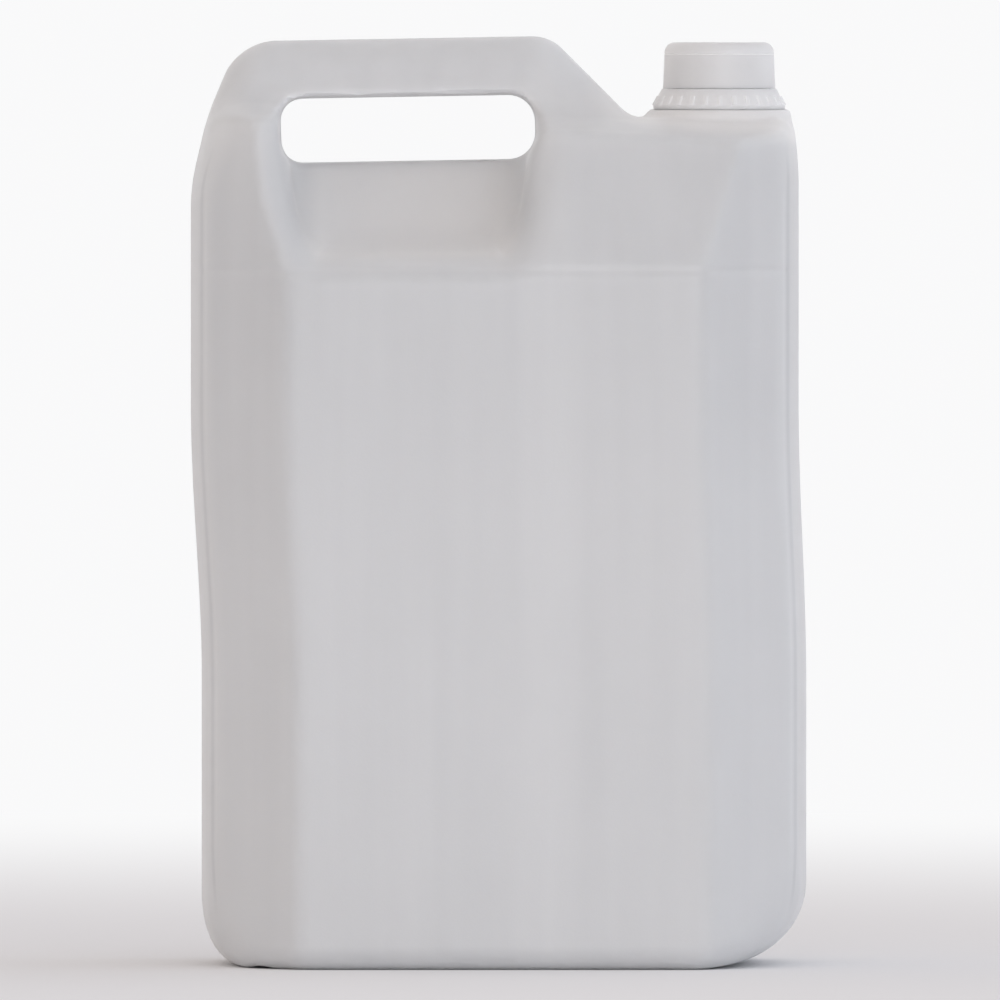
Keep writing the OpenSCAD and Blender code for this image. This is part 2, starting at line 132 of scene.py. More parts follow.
NECK_TURNS, CAP_TURNS, THREAD_CLEARANCE = 1.75, 1.25, 0.3
THREAD_FOOT = RIM_Z - THREAD_ROOT - NECK_TURNS * THREAD_PITCH

# Cap and tamper ring
CAP_BORE = NECK_RADIUS + THREAD_REACH + RING_GAP
CAP_DRAW, CAP_EDGE, CAP_FOOT_ROUND, CAP_INSIDE_ROUND = 0.6, 3.2, 0.12, 0.5
CAP_GROOVE, CAP_GROOVE_DRAW = 0.22, 0.45
DISH_RADIUS, DISH_WALL, DISH_DEPTH, DISH_ROUND = 12.6, 0.7, 0.4, 0.5
GATE_RADIUS, GATE_TOP_RADIUS, GATE_SINK, GATE_ROUND, GATE_TOP_ROUND = 1.4, 0.98, 0.16, 0.2, 0.15
CAP_THREAD_FOOT = THREAD_FOOT - (THREAD_ROOT + THREAD_CREST) / 2 - THREAD_CLEARANCE
CAP_START = (cap_low[2] + THREAD_ROOT / 2 + RING_GAP - CAP_THREAD_FOOT) / THREAD_PITCH
RING_RADIUS, RING_WALL, RING_TOP_RADIUS = 20.7, 1.3, 17.95
RING_SEAT, RING_WIDEST, RING_ROUND, RING_LIP_ROUND = 0.07, 0.2, 0.6, 0.15
RING_FOOT_EDGE, LIP_RISE, LIP_DROP, LIP_ROOT = 0.13, 0.65, 0.78, 0.52
RING_RIBS, RIB_WIDTH, RIB_REACH, RIB_SHARE = 28, 1.5, 0.35, 0.62
BRIDGES, STUB_WIDTH, STUB_REACH, STUB_INSET, STUB_SEATS = 14, 0.9, 0.25, 0.4, 1.6
STUD_SIDES = 20
FINE_ROUND, SMALL_ROUND, SOFT_ROUND = 0.1, 0.2, 0.3

# Fineness of the meshes: grid lines of the skins as runs of (from, to, step), and turned pieces
OUTER_LINES = (
    ((-99, -88, 1.1), (-88, -56, 1.8), (-56, -6, 2.6), (-6, 88, 1.8), (88, 99, 1.1)),
    ((-63, -53, 1.2), (-53, -39, 2.0), (-39, -30, 0.75), (-30, -2, 2.0), (-2, 2, 0.4),
     (2, 30, 2.0), (30, 39, 0.75), (39, 53, 2.0), (53, 63, 1.2)),
    ((-2, 9, 1.0), (9, 30, 2.0), (30, 205, 5.0), (205, 213, 1.6), (213, 222, 0.75), (222, 255, 1.8),
     (255, 294, 1.2)),
)
INNER_LINES = (
    ((-99, 99, 3.0),),
    ((-63, -50, 2.2), (-50, 50, 3.2), (50, 63, 2.2)),
    ((-2, 30, 2.4), (30, 205, 8.0), (205, 294, 2.6)),
)
TURN_STEPS, ROUND_STEPS = 128, 6
SETTLE_STEP, LEAST_STEEP, LONGEST_MOVE = 0.05, 0.2, 1.0
FIRST_ROUNDS, LATER_ROUNDS, RELAX_ROUNDS, RELAX_SHARE = 4, 2, 2, 0.4
MERGE_WITHIN = 1e-4
SHARP_SKIN, SHARP_TRIM = 50, 40

# Materials: colours, scales of the patterns in patches a metre, and shares of what mixes the colours
NATURAL_DARK, NATURAL_LIGHT = (0.59, 0.598, 0.613, 1), (0.67, 0.677, 0.69, 1)
PALE_DARK, PALE_LIGHT = (0.68, 0.682, 0.69, 1), (0.73, 0.732, 0.74, 1)
FOAM_DARK, FOAM_LIGHT = (0.72, 0.72, 0.7, 1), (0.86, 0.86, 0.84, 1)
# paler colour painted in as light glowing through from behind, in the pockets and at the neck's foot
PAINTED_GLOW_COLOUR = (0.75, 0.745, 0.745, 1)
CLOUD_SCALE, STREAK_SCALE, GRAIN_SCALE, PEEL_SCALE, CELL_SCALE = 22.0, 130.0, 1500.0, 260.0, 1400.0
# the last share is that of the painted highlight strip
CLOUD_SHARE, STREAK_SHARE, HIGHLIGHT_SHARE = 0.5, 0.5, 0.35
# shares of the painted shade on the shoulder and of the painted dark line along the upright edges
SHOULDER_SHADE_SHARE, EDGE_SHADE_SHARE = 0.4, 0.75
GRAIN_SHARE, PEEL_SHARE = 0.4, 0.6
CLOUD_ROUGHNESS, CELL_ROUGHNESS = 0.12, 0.1

# Zones of the jug's wall, in millimetres: a painted highlight strip, painted light in the pockets and at
# the neck's foot, painted shade on the shoulder and along the upright edges
# painted highlight: a lighter upright strip across the wall, standing in for a soft reflection
HIGHLIGHT_MIDDLE, HIGHLIGHT_HALF = 16.0, 11.0
POCKET_MIDDLE, POCKET_ACROSS, POCKET_OUT = -27.0, (27.0, 39.0), (50.0, 60.0)
POCKET_LOW, POCKET_HIGH = (210.0, 220.0), (246.0, 260.0)
NECK_ROUND, NECK_UP = (30.0, 48.0), (255.0, 260.0)
# painted shade: darker on the shoulder, and a dark line painted in the groove along the upright edges
SHOULDER_SHADE_FROM, SHOULDER_SHADE_TO = (120.0, 215.0), (248.0, 264.0)
EDGE_SHADE_OUT, EDGE_SHADE_HALF, EDGE_SHADE_ACROSS = 32.8, (0.4, 1.4), (80.0, 84.0)
EDGE_SHADE_LOW, EDGE_SHADE_HIGH = (14.0, 30.0), (244.0, 258.0)

# Studio, in metres and watts
FLOOR_COLOUR, SURROUND_COLOUR = (0.86, 0.86, 0.87), (0.95, 0.95, 0.955)
FLOOR_NEAR, FLOOR_FAR, FLOOR_RADIUS, FLOOR_SIDES = 0.25, 1.6, 40.0, 96
HORIZON_LIGHT, ZENITH_LIGHT, SIDE_LIGHT = 0.855, 0.79, 0.21
LEFT_TINT, RIGHT_TINT = (1.0, 0.885, 0.805), (0.88, 0.92, 1.0)
LAMP_SIZE, LAMP_AIM = 1.2, (0.0, 0.0, 0.14)
LAMPS = (
    ("key_right", (0.3, -2.2, 0.25), 11.0, (0.98, 0.99, 1.0)),
    ("rim_left", (-1.7, 0.9, 0.4), 3.2, (1.0, 0.95, 0.92)),
    ("rim_right", (1.7, 0.9, 0.4), 2.2, (0.96, 0.97, 1.0)),
)
CAMERA_DISTANCE, CAMERA_RISE, CAMERA_SENSOR, CAMERA_END = 8.0, math.radians(1.0), 36.0, 100.0
PICTURE_WIDTH, PICTURE_MIDDLE = 0.3133, (0.00045, 0.0, 0.1453)


def soft_max(a, b, blend):
    """The larger of two distances, with the edge between them softened."""
    return np.maximum(a, b) + np.maximum(blend - np.abs(a - b), 0) ** 2 / (4 * blend)


def soft_min(a, b, blend):
    return -soft_max(-a, -b, blend)


def round_max(a, b, radius):
    """The larger of two distances, with the edge between them rounded to a radius."""
    corner = np.hypot(np.maximum(a + radius, 0), np.maximum(b + radius, 0))
    return np.minimum(np.maximum(a, b), -radius) + corner


def ease(value, low, high):
    """0 at low, 1 at high, and smooth in between."""
    share = np.clip((value - low) / (high - low), 0, 1)
    return share * share * (3 - 2 * share)


def ramp(value):
    """Zero, then rising one for one, with a soft start."""
    return soft_max(value, 0 * value, LEAN_BLEND)


def base_corner(aside, z, corner):
    """Distance to a side wall and the base, with an elliptical corner between them."""
    width, height = corner
    across = np.maximum(width - aside, 0) / width
    down = np.maximum(height - z, 0) / height
    reach = np.hypot(across, down)
    slope = np.hypot(across / width, down / height)
    curved = reach * (reach - 1) / np.maximum(slope, 1e-6)
    return np.where((across > 0) & (down > 0), curved, np.maximum(-aside, -z))


def side_walls(x, z):
    """Distances in from the handle's side wall and from the neck's side wall."""
    lower = 1 - ease(z, STEP_FROM, STEP_TO)
    knee = ramp(z - KNEE_Z)
    left_lean = (ramp(z - LEFT_BREAK) - knee) * math.tan(LEFT_LEAN) + knee * math.tan(LEFT_TOP_LEAN)
    right_lean = ramp(z - RIGHT_BREAK) * math.tan(RIGHT_LEAN)
    from_left = x + HALF_WIDTH - LEFT_STEP * lower - left_lean
    from_right = HALF_WIDTH + RIGHT_STEP * lower - right_lean - x
    return from_left, from_right


def top_line(x, z):
    """Distance to the top's outline: the handle, the dip beside it and the neck's platform."""
    along = (z - HANDLE_Z - (x - HANDLE_END) * math.tan(HANDLE_TILT)) * math.cos(HANDLE_TILT)
    falling = (z - HANDLE_Z + (x - HANDLE_END) * math.tan(HANDLE_FALL)) * math.cos(HANDLE_FALL)
    return soft_min(soft_max(along, falling, HANDLE_TURN), z - PLATFORM_Z, DIP_ROUND)


def outline(x, y, z, from_left, from_right):
    """Distance to the jug's outline as the front shows it."""
    top = top_line(x, z)
    floor = z - base_hollow(x, y)
    crown = SIDE_CROWN * (y / (HALF_DEPTH - FACET_DEPTH)) ** 2
    left = base_corner(from_left - crown, floor, LEFT_CORNER)
    right = base_corner(from_right - crown, floor, RIGHT_CORNER)
    left_top = round_max(-from_left * math.cos(LEFT_TOP_LEAN), top, BAR_ROUND)
    right_top = round_max(-from_right, top, NECK_SIDE_ROUND)
    return np.maximum(np.maximum(left, right), np.maximum(left_top, right_top))


def base_hollow(x, y):
    """How far the base is pushed up, with the weld of the parison across it."""
    inside_x = ease(HALF_WIDTH - LEFT_CORNER[0] + x, *HOLLOW_ACROSS)
    inside_x = inside_x * ease(HALF_WIDTH - RIGHT_CORNER[0] - x, *HOLLOW_ACROSS)
    inside_y = ease(HALF_DEPTH - np.abs(y), *HOLLOW_DEEP)
    weld = WELD_HEIGHT * np.exp(-(y / WELD_WIDTH) ** 2)
    return inside_x * inside_y * (BASE_HOLLOW - weld)


def panel_sink(x, z):
    """How far the front and back panels draw in as the blown jug cools."""
    across = np.cos(np.clip(x / HALF_WIDTH, -1, 1) * math.pi / 2) ** 2
    up = np.sin(np.clip(z / SHOULDER_Z, 0, 1) * math.pi) ** 2
    broad_across = np.sin((x + BROAD_START[0]) / BROAD_SIZE[0])
    broad_up = np.sin((z + BROAD_START[1]) / BROAD_SIZE[1])
    fine = np.sin(x / FINE_SIZE[0] - z / FINE_SIZE[1])
    return PANEL_SINK * across * up * (1 + BROAD_WAVE * broad_across * broad_up + FINE_WAVE * fine)


def edge_round(x, z):
    """Radius along the outline's front and back edges."""
    crease = CREASE_Z - x * math.tan(CREASE_FALL)
    falling = HANDLE_Z - np.maximum(x - HANDLE_END, 0) * math.tan(HANDLE_FALL)
    standing = np.maximum(falling, PLATFORM_Z) - crease
    top = np.clip(standing / BAR_STAND, ROOF_ROUND, BAR_ROUND)
    low = BASE_EDGE + (SIDE_EDGE - BASE_EDGE) * ease(z, *BASE_EDGE_RUN)
    return low + (top - low) * ease(z, *TOP_EDGE_RUN)


def depth_skin(x, y, z, from_left, from_right):
    """Distance to the faces that bound the jug's depth: panels, facets, shoulder, roof and bar."""
    depth = np.abs(y)
    pitch = FACET_DEPTH / FACET_WIDTH
    stretch = math.hypot(1, pitch)
    panel = depth - HALF_DEPTH + panel_sink(x, z)
    left = (depth - HALF_DEPTH + FACET_DEPTH - from_left * pitch) / stretch
    right = (depth - HALF_DEPTH + FACET_DEPTH - from_right * pitch) / stretch
    walls = soft_max(soft_max(panel, left, FACET_BLEND), right, FACET_BLEND)
    lean = (depth - HALF_DEPTH) * math.cos(SHOULDER_LEAN) + (z - SHOULDER_Z) * math.sin(SHOULDER_LEAN)
    crease = CREASE_Z - x * math.tan(CREASE_FALL)
    roof = (depth - CREASE_DEPTH) * math.sin(ROOF_SLOPE) + (z - crease) * math.cos(ROOF_SLOPE)
    bar = (depth - BAR_HALF) * math.cos(BAR_TAPER) + (z - FINGER_TOP) * math.sin(BAR_TAPER)
    upper = soft_min(roof, bar, BAR_ROOT)
    groove = GROOVE_DEPTH * np.exp(-((z - SHOULDER_Z) / GROOVE_WIDTH) ** 2)
    sides = soft_max(walls, lean, LOWER_CREASE_BLEND) + groove
    return soft_max(sides, upper, UPPER_CREASE_BLEND)


def opening_place(x, z):
    """Place in the finger opening's own frame: along it from its left end, and up from its floor."""
    across = x - FINGER_X
    up = z - (FINGER_FLOOR - FINGER_LENGTH * math.sin(HANDLE_TILT))
    turn_cos, turn_sin = math.cos(HANDLE_TILT), math.sin(HANDLE_TILT)
    return across * turn_cos + up * turn_sin, up * turn_cos - across * turn_sin


def finger_slot(x, z):
    """Distance to the opening through the moulding seam: a slot with round corners."""
    u, v = opening_place(x, z)
    radius = np.where(u < FINGER_LENGTH / 2, FINGER_LEFT_ROUND, FINGER_RIGHT_ROUND)
    across = np.abs(u - FINGER_LENGTH / 2) - FINGER_LENGTH / 2
    up = np.abs(v - FINGER_HEIGHT / 2) - FINGER_HEIGHT / 2
    return round_max(across, up, radius)


def hand_pocket(x, y, z):
    """Distance to the hollow for the hand, outside the seam: drawn in towards its foot, round below."""
    u, v = opening_place(x, z)
    depth = np.abs(y)
    top = FINGER_HEIGHT + SEAM_REACH
    foot = POCKET_FOOT - FINGER_FLOOR
    slope = POCKET_DRAW / (top - foot)
    drawn = (top - v) * slope - SEAM_REACH
    left = (drawn - u) / math.hypot(1, slope)
    right = (u - FINGER_LENGTH + drawn) / math.hypot(1, slope)
    sides = np.maximum(left, right)
    below = round_max(sides, foot - v, POCKET_CORNER)
    around = round_max(below, v - top, FINGER_RIGHT_ROUND + SEAM_REACH)
    run = HALF_DEPTH - SEAM_HALF
    drop = FINGER_FLOOR - POCKET_FOOT
    chord = math.hypot(run, drop)
    lift = math.sqrt(POCKET_HOLLOW ** 2 - chord ** 2 / 4) / chord
    floor = np.hypot(depth - SEAM_HALF - run / 2 - drop * lift, z - FINGER_FLOOR + drop / 2 - run * lift)
    hollow = round_max(around, floor - POCKET_HOLLOW, POCKET_ROUND)
    return round_max(hollow, SEAM_HALF - depth, SEAM_ROUND)


def body(x, y, z):
    """Distance to the outer skin of the jug, without its neck."""
    local = x - UPPER_X
    from_left, from_right = side_walls(local, z)
    faces = depth_skin(local, y, z, from_left, from_right)
    rim = outline(local, y, z, from_left, from_right)
    line = EDGE_GROOVE * np.exp(-((faces - rim) / EDGE_GROOVE_WIDTH) ** 2)
    upright = ease(z, *EDGE_GROOVE_LOW) * (1 - ease(z, *EDGE_GROOVE_HIGH))
    skin = round_max(faces, rim, edge_round(local, z)) + line * upright
    lip = POCKET_RIM + (POCKET_TOP_RIM - POCKET_RIM) * ease(z, FINGER_FLOOR, FINGER_TOP)
    skin = soft_max(skin, -hand_pocket(local, y, z), lip)
    return round_max(skin, -finger_slot(local, z), SEAM_ROUND)


def collar(x, y, z):
    """Distance to the collar at the foot of the neck."""
    out = np.hypot(x - NECK_X, y) - COLLAR_RADIUS
    foot = PLATFORM_Z - COLLAR_SUNK - z
    return round_max(round_max(out, z - COLLAR_TOP, COLLAR_ROUND), foot, COLLAR_ROUND)


def outer_skin(x, y, z):
    """Distance to the outside of the jug and its collar, with the raised parting line."""
    parting = PARTING_HEIGHT * np.exp(-(y / PARTING_WIDTH) ** 2) * ease(z, *PARTING_FOOT)
    return soft_min(body(x, y, z), collar(x, y, z), COLLAR_FILLET) - parting


def inner_skin(x, y, z):
    """Distance to the inside of the jug's wall."""
    return body(x, y, z) + WALL


def grid_lines(runs):
    """Grid lines from runs of (from, to, step)."""
    pieces = [np.linspace(low, high, round((high - low) / step) + 1) for low, high, step in runs]
    return np.unique(np.concatenate(pieces))


def skin_net(field, lines):
    """Points and four-sided faces on the zero level of a field, one point for each cell it crosses."""
    axes = [grid_lines(runs) for runs in lines]
    values = field(*np.meshgrid(*axes, indexing="ij", sparse=True))
    inside = values < 0
    cells = tuple(n - 1 for n in values.shape)
    total, count = np.zeros((*cells, 3)), np.zeros(cells)
    crossings = []
    for axis in range(3):
        low, high = np.delete(values, -1, axis), np.delete(values, 0, axis)
        starts = np.delete(inside, -1, axis)
        edges = np.argwhere(starts != np.delete(inside, 0, axis))
        at = tuple(edges.T)
        share = low[at] / (low[at] - high[at])
        points = np.stack([axes[k][edges[:, k]] for k in range(3)], 1)
        step = np.diff(axes[axis])[edges[:, axis]]
        points[:, axis] += share * step
        b, c = (axis + 1) % 3, (axis + 2) % 3
        round_edge = []
        for shift_b, shift_c in ((-1, -1), (0, -1), (0, 0), (-1, 0)):
            cell = edges.copy()
            cell[:, b] += shift_b
            cell[:, c] += shift_c
            np.add.at(total, tuple(cell.T), points)
            np.add.at(count, tuple(cell.T), 1)
            round_edge.append(cell)
        crossings.append((round_edge, starts[at]))
    used = count > 0
    index = np.full(cells, -1)
    index[used] = np.arange(used.sum())
    faces = []
    for round_edge, leaving in crossings:
        quads = np.stack([index[tuple(cell.T)] for cell in round_edge], 1)
        faces.append(np.where(leaving[:, None], quads, quads[:, ::-1]))
    return total[used] / count[used][:, None], np.concatenate(faces)


def settle(points, field, rounds):
    """Moves points straight onto the zero level of a field."""
    for _ in range(rounds):
        slope = np.stack([
            (field(*(points + shift).T) - field(*(points - shift).T)) / (2 * SETTLE_STEP)
            for shift in np.eye(3) * SETTLE_STEP
        ], 1)
        move = field(*points.T) / np.maximum((slope ** 2).sum(1), LEAST_STEEP)
        points = points - np.clip(move, -LONGEST_MOVE, LONGEST_MOVE)[:, None] * slope
    return points


def relax(points, faces):
    """Moves each point part of the way to the middle of its neighbours."""
    ends = np.concatenate([faces[:, [k, (k + 1) % 4]] for k in range(4)])
    number = np.bincount(ends[:, 0], minlength=len(points))
    middle = [np.bincount(ends[:, 0], points[ends[:, 1], k], len(points)) / number for k in range(3)]
    return points + RELAX_SHARE * (np.stack(middle, 1) - points)


def skin_mesh(name, field, lines):
    """Closed mesh of the zero level of a field, evened out and settled on it."""
    points, faces = skin_net(field, lines)
    points = settle(points, field, FIRST_ROUNDS)
    for _ in range(RELAX_ROUNDS):
        points = settle(relax(points, faces), field, LATER_ROUNDS)
    return mesh_object(name, points * MM, faces.tolist())


def mesh_object(name, points, faces):
    """New object with a smooth mesh, in metres."""
    mesh = bpy.data.meshes.new(name)
    mesh.from_pydata(np.asarray(points).tolist(), [], faces)
    mesh.shade_smooth()
    made = bpy.data.objects.new(name, mesh)
    bpy.context.scene.collection.objects.link(made)
    return made


def rounded(corners):
    """Profile with its corners rounded: each corner is (radius from the axis, height, rounding)."""
    points = []
    for i, (r, z, size) in enumerate(corners):
        here = Vector((r, z))
        before = Vector(corners[i - 1][:2]) - here
        after = Vector(corners[(i + 1) % len(corners)][:2]) - here
        if size == 0:
            points.append(here)
            continue
        half = before.angle(after) / 2
        reach = size / math.tan(half)
        first, last = here + before.normalized() * reach, here + after.normalized() * reach
        middle = here + (before.normalized() + after.normalized()).normalized() * size / math.sin(half)
        for k in range(ROUND_STEPS + 1):
            spoke = (first - middle).lerp(last - middle, k / ROUND_STEPS)
            points.append(middle + spoke.normalized() * size)
    return points


def turned(name, corners):
    """Closed piece turned about the neck's axis from a profile of rounded corners."""
    profile = rounded(corners)
    count = len(profile)
    points, faces = [], []
    for step in range(TURN_STEPS):
        angle = 2 * math.pi * step / TURN_STEPS
        here, following = step * count, (step + 1) % TURN_STEPS * count
        for k, (r, z) in enumerate(profile):
            points.append(((NECK_X + r * math.cos(angle)) * MM, r * math.sin(angle) * MM, z * MM))
            after = (k + 1) % count
            faces.append((here + k, following + k, following + after, here + after))
    made = mesh_object(name, points, faces)
    mend(made)
    return made


def mend(made):
    """Merges doubled points, drops edges with no face and points all faces outwards."""
    work = bmesh.new()
    work.from_mesh(made.data)
    bmesh.ops.remove_doubles(work, verts=work.verts, dist=MERGE_WITHIN * MM)
    bare = [edge for edge in work.edges if not edge.link_faces]
    bmesh.ops.delete(work, geom=bare, context="EDGES")
    bmesh.ops.recalc_face_normals(work, faces=work.faces)
    work.to_mesh(made.data)
    work.free()


def finished(made, name):
    """The evaluated mesh of an object as a plain object of that name; the first object goes."""
    bpy.context.view_layer.update()
    mesh = bpy.data.meshes.new_from_object(made.evaluated_get(bpy.context.evaluated_depsgraph_get()))
    bpy.data.objects.remove(made)
    plain = bpy.data.objects.new(name, mesh)
    mesh.name = name
    bpy.context.scene.collection.objects.link(plain)
    return plain


def combined(base, tool, operation):
    """The union or the difference of two closed pieces, as one piece with the first one's name."""
    name = base.name
    change = base.modifiers.new(operation, "BOOLEAN")
    change.operation = operation
    change.solver = "MANIFOLD"
    change.object = tool
    made = finished(base, name + "_made")
    bpy.data.objects.remove(tool)
    made.name = name
    return made


class Value:
    """A socket of a node tree. Arithmetic on values adds Math nodes to their tree."""

    def __init__(self, tree, socket):
        self.tree = tree
        self.socket = socket

    @classmethod
    def node(cls, tree, kind, settings=None, inputs=None, output=0):
        """Adds a node: its settings are set first, then the values or links of its sockets."""
        made = tree.nodes.new(kind)
        for name, setting in (settings or {}).items():
            setattr(made, name, setting)
        for name, given in (inputs or {}).items():
            if isinstance(name, int):
                socket = made.inputs[name]
            else:
                socket = next(s for s in made.inputs if s.enabled and name in (s.identifier, s.name))
            if isinstance(given, Value):
                tree.links.new(given.socket, socket)
            else:
                socket.default_value = given
        return cls(tree, made.outputs[output])

    def math(self, operation, other=0.0):
        return Value.node(self.tree, "ShaderNodeMath", {"operation": operation}, {0: self, 1: other})

    def __add__(self, other):
        return self.math("ADD", other)

    def __sub__(self, other):
        return self.math("SUBTRACT", other)

    def __mul__(self, other):
        return self.math("MULTIPLY", other)

    def __rsub__(self, other):
        return self * -1 + other

    __radd__ = __add__


def geometry_tree(name, *sizes):
    """New geometry tree with named number inputs and a material input, and its inputs as values."""
    tree = bpy.data.node_groups.new(name, "GeometryNodeTree")
    for size in sizes:
        tree.interface.new_socket(size, in_out="INPUT", socket_type="NodeSocketFloat")
    tree.interface.new_socket("Material", in_out="INPUT", socket_type="NodeSocketMaterial")
    tree.interface.new_socket("Geometry", in_out="OUTPUT", socket_type="NodeSocketGeometry")
    given = tree.nodes.new("NodeGroupInput")
    return tree, {socket.name: Value(tree, socket) for socket in given.outputs if socket.name}


def end_tree(tree, shape, material):
    """Realizes the shape, gives it its material and ends the tree with it."""
    whole = Value.node(tree, "GeometryNodeRealizeInstances", None, {"Geometry": shape})
    clad = Value.node(tree, "GeometryNodeSetMaterial", None, {"Geometry": whole, "Material": material})
    tree.links.new(clad.socket, tree.nodes.new("NodeGroupOutput").inputs["Geometry"])


def vector(tree, x=0.0, y=0.0, z=0.0):
    return Value.node(tree, "ShaderNodeCombineXYZ", None, {"X": x, "Y": y, "Z": z})


def axes_of(place):
    """The X, Y and Z of a vector."""
    split = Value.node(place.tree, "ShaderNodeSeparateXYZ", None, {"Vector": place}).socket.node
    return [Value(place.tree, split.outputs[axis]) for axis in "XYZ"]


def moved(tree, shape, place=None, turn=None, scale=None):
    """A shape scaled, turned by angles about X, Y and Z, and moved."""
    inputs = {"Geometry": shape}
    if place is not None:
        inputs["Translation"] = place
    if turn is not None:
        inputs["Rotation"] = Value.node(tree, "FunctionNodeEulerToRotation", None, {"Euler": turn})
    if scale is not None:
        inputs["Scale"] = scale
    return Value.node(tree, "GeometryNodeTransform", None, inputs)


def thread_tree():
    """Helical ridge on a wall round an axis, running out at both ends; Facing turns it inwards."""
    tree, size = geometry_tree("screw_thread", "Turns", "Pitch", "Radius", "Reach", "Sunk", "Root", "Crest",
                               "Facing", "Start", "Foot", "Axis")
    helix = Value.node(tree, "GeometryNodeCurveSpiral", None, {
        "Resolution": THREAD_STEPS, "Rotations": size["Turns"], "Start Radius": size["Radius"],
        "End Radius": size["Radius"], "Height": size["Turns"] * size["Pitch"],
    })
    upright = Value.node(tree, "GeometryNodeSetCurveNormal", {"mode": "Z_UP"}, {"Curve": helix})
    depth = size["Reach"] + size["Sunk"]
    section = Value.node(tree, "GeometryNodeCurvePrimitiveQuadrilateral", {"mode": "TRAPEZOID"}, {
        "Bottom Width": size["Root"], "Top Width": size["Crest"], "Offset": 0.0, "Height": depth,
    })
    soft = Value.node(tree, "GeometryNodeFilletCurve", {"mode": "POLY"}, {
        "Curve": section, "Count": 3, "Radius": size["Crest"] * THREAD_ROUND,
    })
    standing = moved(tree, soft, vector(tree, depth * 0.5 - size["Sunk"]), vector(tree, z=-math.pi / 2))
    facing = moved(tree, standing, turn=vector(tree, z=size["Facing"]))
    along = Value.node(tree, "GeometryNodeSplineParameter", output="Factor")
    run_outs = size["Turns"] * THREAD_RUN_OUT
    grows = (along * run_outs).math("MINIMUM", (1 - along) * run_outs)
    kept = grows.math("MINIMUM", 1.0).math("MAXIMUM", THREAD_TIP)
    ridge = Value.node(tree, "GeometryNodeCurveToMesh", None, {
        "Curve": upright, "Profile Curve": facing, "Scale": kept, "Fill Caps": True,
    })
    place, turn = vector(tree, size["Axis"], z=size["Foot"]), vector(tree, z=size["Start"])
    placed = moved(tree, ridge, place, turn)
    end_tree(tree, placed, size["Material"])
    return tree


def studs_tree():
    """Half-round studs in a ring round an axis, each leaning in by an angle."""
    tree, size = geometry_tree("studs_in_a_ring", "Count", "Circle", "Height", "Width", "Length", "Reach",
                               "Lean", "Axis")
    stud = Value.node(tree, "GeometryNodeMeshCylinder", None, {
        "Vertices": STUD_SIDES, "Side Segments": 1, "Radius": size["Width"] * 0.5, "Depth": size["Length"],
    })
    flat = vector(tree, (size["Reach"] * 2).math("DIVIDE", size["Width"]), 1.0, 1.0)
    leaning = moved(tree, stud, turn=vector(tree, y=size["Lean"] * -1), scale=flat)
    ring = Value.node(tree, "GeometryNodeMeshCircle", None, {
        "Vertices": size["Count"], "Radius": size["Circle"],
    })
    outward = Value.node(tree, "FunctionNodeAlignRotationToVector", {"axis": "X", "pivot_axis": "Z"}, {
        "Vector": Value.node(tree, "GeometryNodeInputPosition"),
    })
    studs = Value.node(tree, "GeometryNodeInstanceOnPoints", None, {
        "Points": ring, "Instance": leaning, "Rotation": outward,
    })
    placed = moved(tree, studs, vector(tree, size["Axis"], z=size["Height"]))
    end_tree(tree, placed, size["Material"])
    return tree


def grown(name, tree, material, **values):
    """Plain mesh object that a geometry tree makes; lengths are given in millimetres."""
    holder = bpy.data.objects.new(name + "_holder", bpy.data.meshes.new(name + "_holder"))
    bpy.context.scene.collection.objects.link(holder)
    maker = holder.modifiers.new(name, "NODES")
    maker.node_group = tree
    for item in tree.interface.items_tree:
        if item.in_out != "INPUT":
            continue
        if item.name == "Material":
            maker[item.identifier] = material
        else:
            value = values[item.name.lower()]
            plain = item.name in ("Turns", "Count", "Facing", "Start", "Lean")
            maker[item.identifier] = float(value if plain else value * MM)
    made = finished(holder, name)
    mend(made)
    return made


# Materials

def blank_material(name):
    """New material with an empty node tree."""
    material = bpy.data.materials.new(name)
    material.use_nodes = True
    material.node_tree.nodes.clear()
    return material, material.node_tree


def end_material(tree, shader):
    """Ends a material's tree with a shader."""
    tree.links.new(shader.socket, tree.nodes.new("ShaderNodeOutputMaterial").inputs["Surface"])


def noise(tree, place, scale, detail, stretch=None):
    """Soft random pattern on a place, with a scale in patches a metre."""
    if stretch:
        place = Value.node(tree, "ShaderNodeMapping", None, {"Vector": place, "Scale": stretch})
    return Value.node(tree, "ShaderNodeTexNoise", None, {"Vector": place, "Scale": scale, "Detail": detail})


def mixed(tree, share, first, second):
    """Colour between two colours."""
    return Value.node(tree, "ShaderNodeMix", {"data_type": "RGBA", "clamp_factor": False}, {
        "Factor_Float": share, "A_Color": first, "B_Color": second,
    }, output=2)


def fading(value, near, far):
    """1 up to the near place, 0 from the far place on, and smooth in between; places in millimetres."""
    return Value.node(value.tree, "ShaderNodeMapRange", {"interpolation_type": "SMOOTHSTEP"}, {
        "Value": value, "From Min": near * MM, "From Max": far * MM, "To Min": 1.0, "To Max": 0.0,
    })


def painted_backlight(across, out, up):
    """Share of the jug's wall painted paler, as painted light from behind: the hand pockets and the neck's
    foot.
    """
    leaning = out.math("ABSOLUTE") + (up - SHOULDER_Z * MM) * math.tan(SHOULDER_LEAN)
    pocket = fading((across - POCKET_MIDDLE * MM).math("ABSOLUTE"), *POCKET_ACROSS)
    pocket = pocket * fading(leaning, *POCKET_OUT)
    pocket = pocket * fading(up, *POCKET_HIGH) * (1 - fading(up, *POCKET_LOW))
    aside = across - NECK_X * MM
    from_axis = (aside * aside + out * out).math("SQRT")
    neck = fading(from_axis, *NECK_ROUND) * (1 - fading(up, *NECK_UP))
    return pocket.math("MAXIMUM", neck)


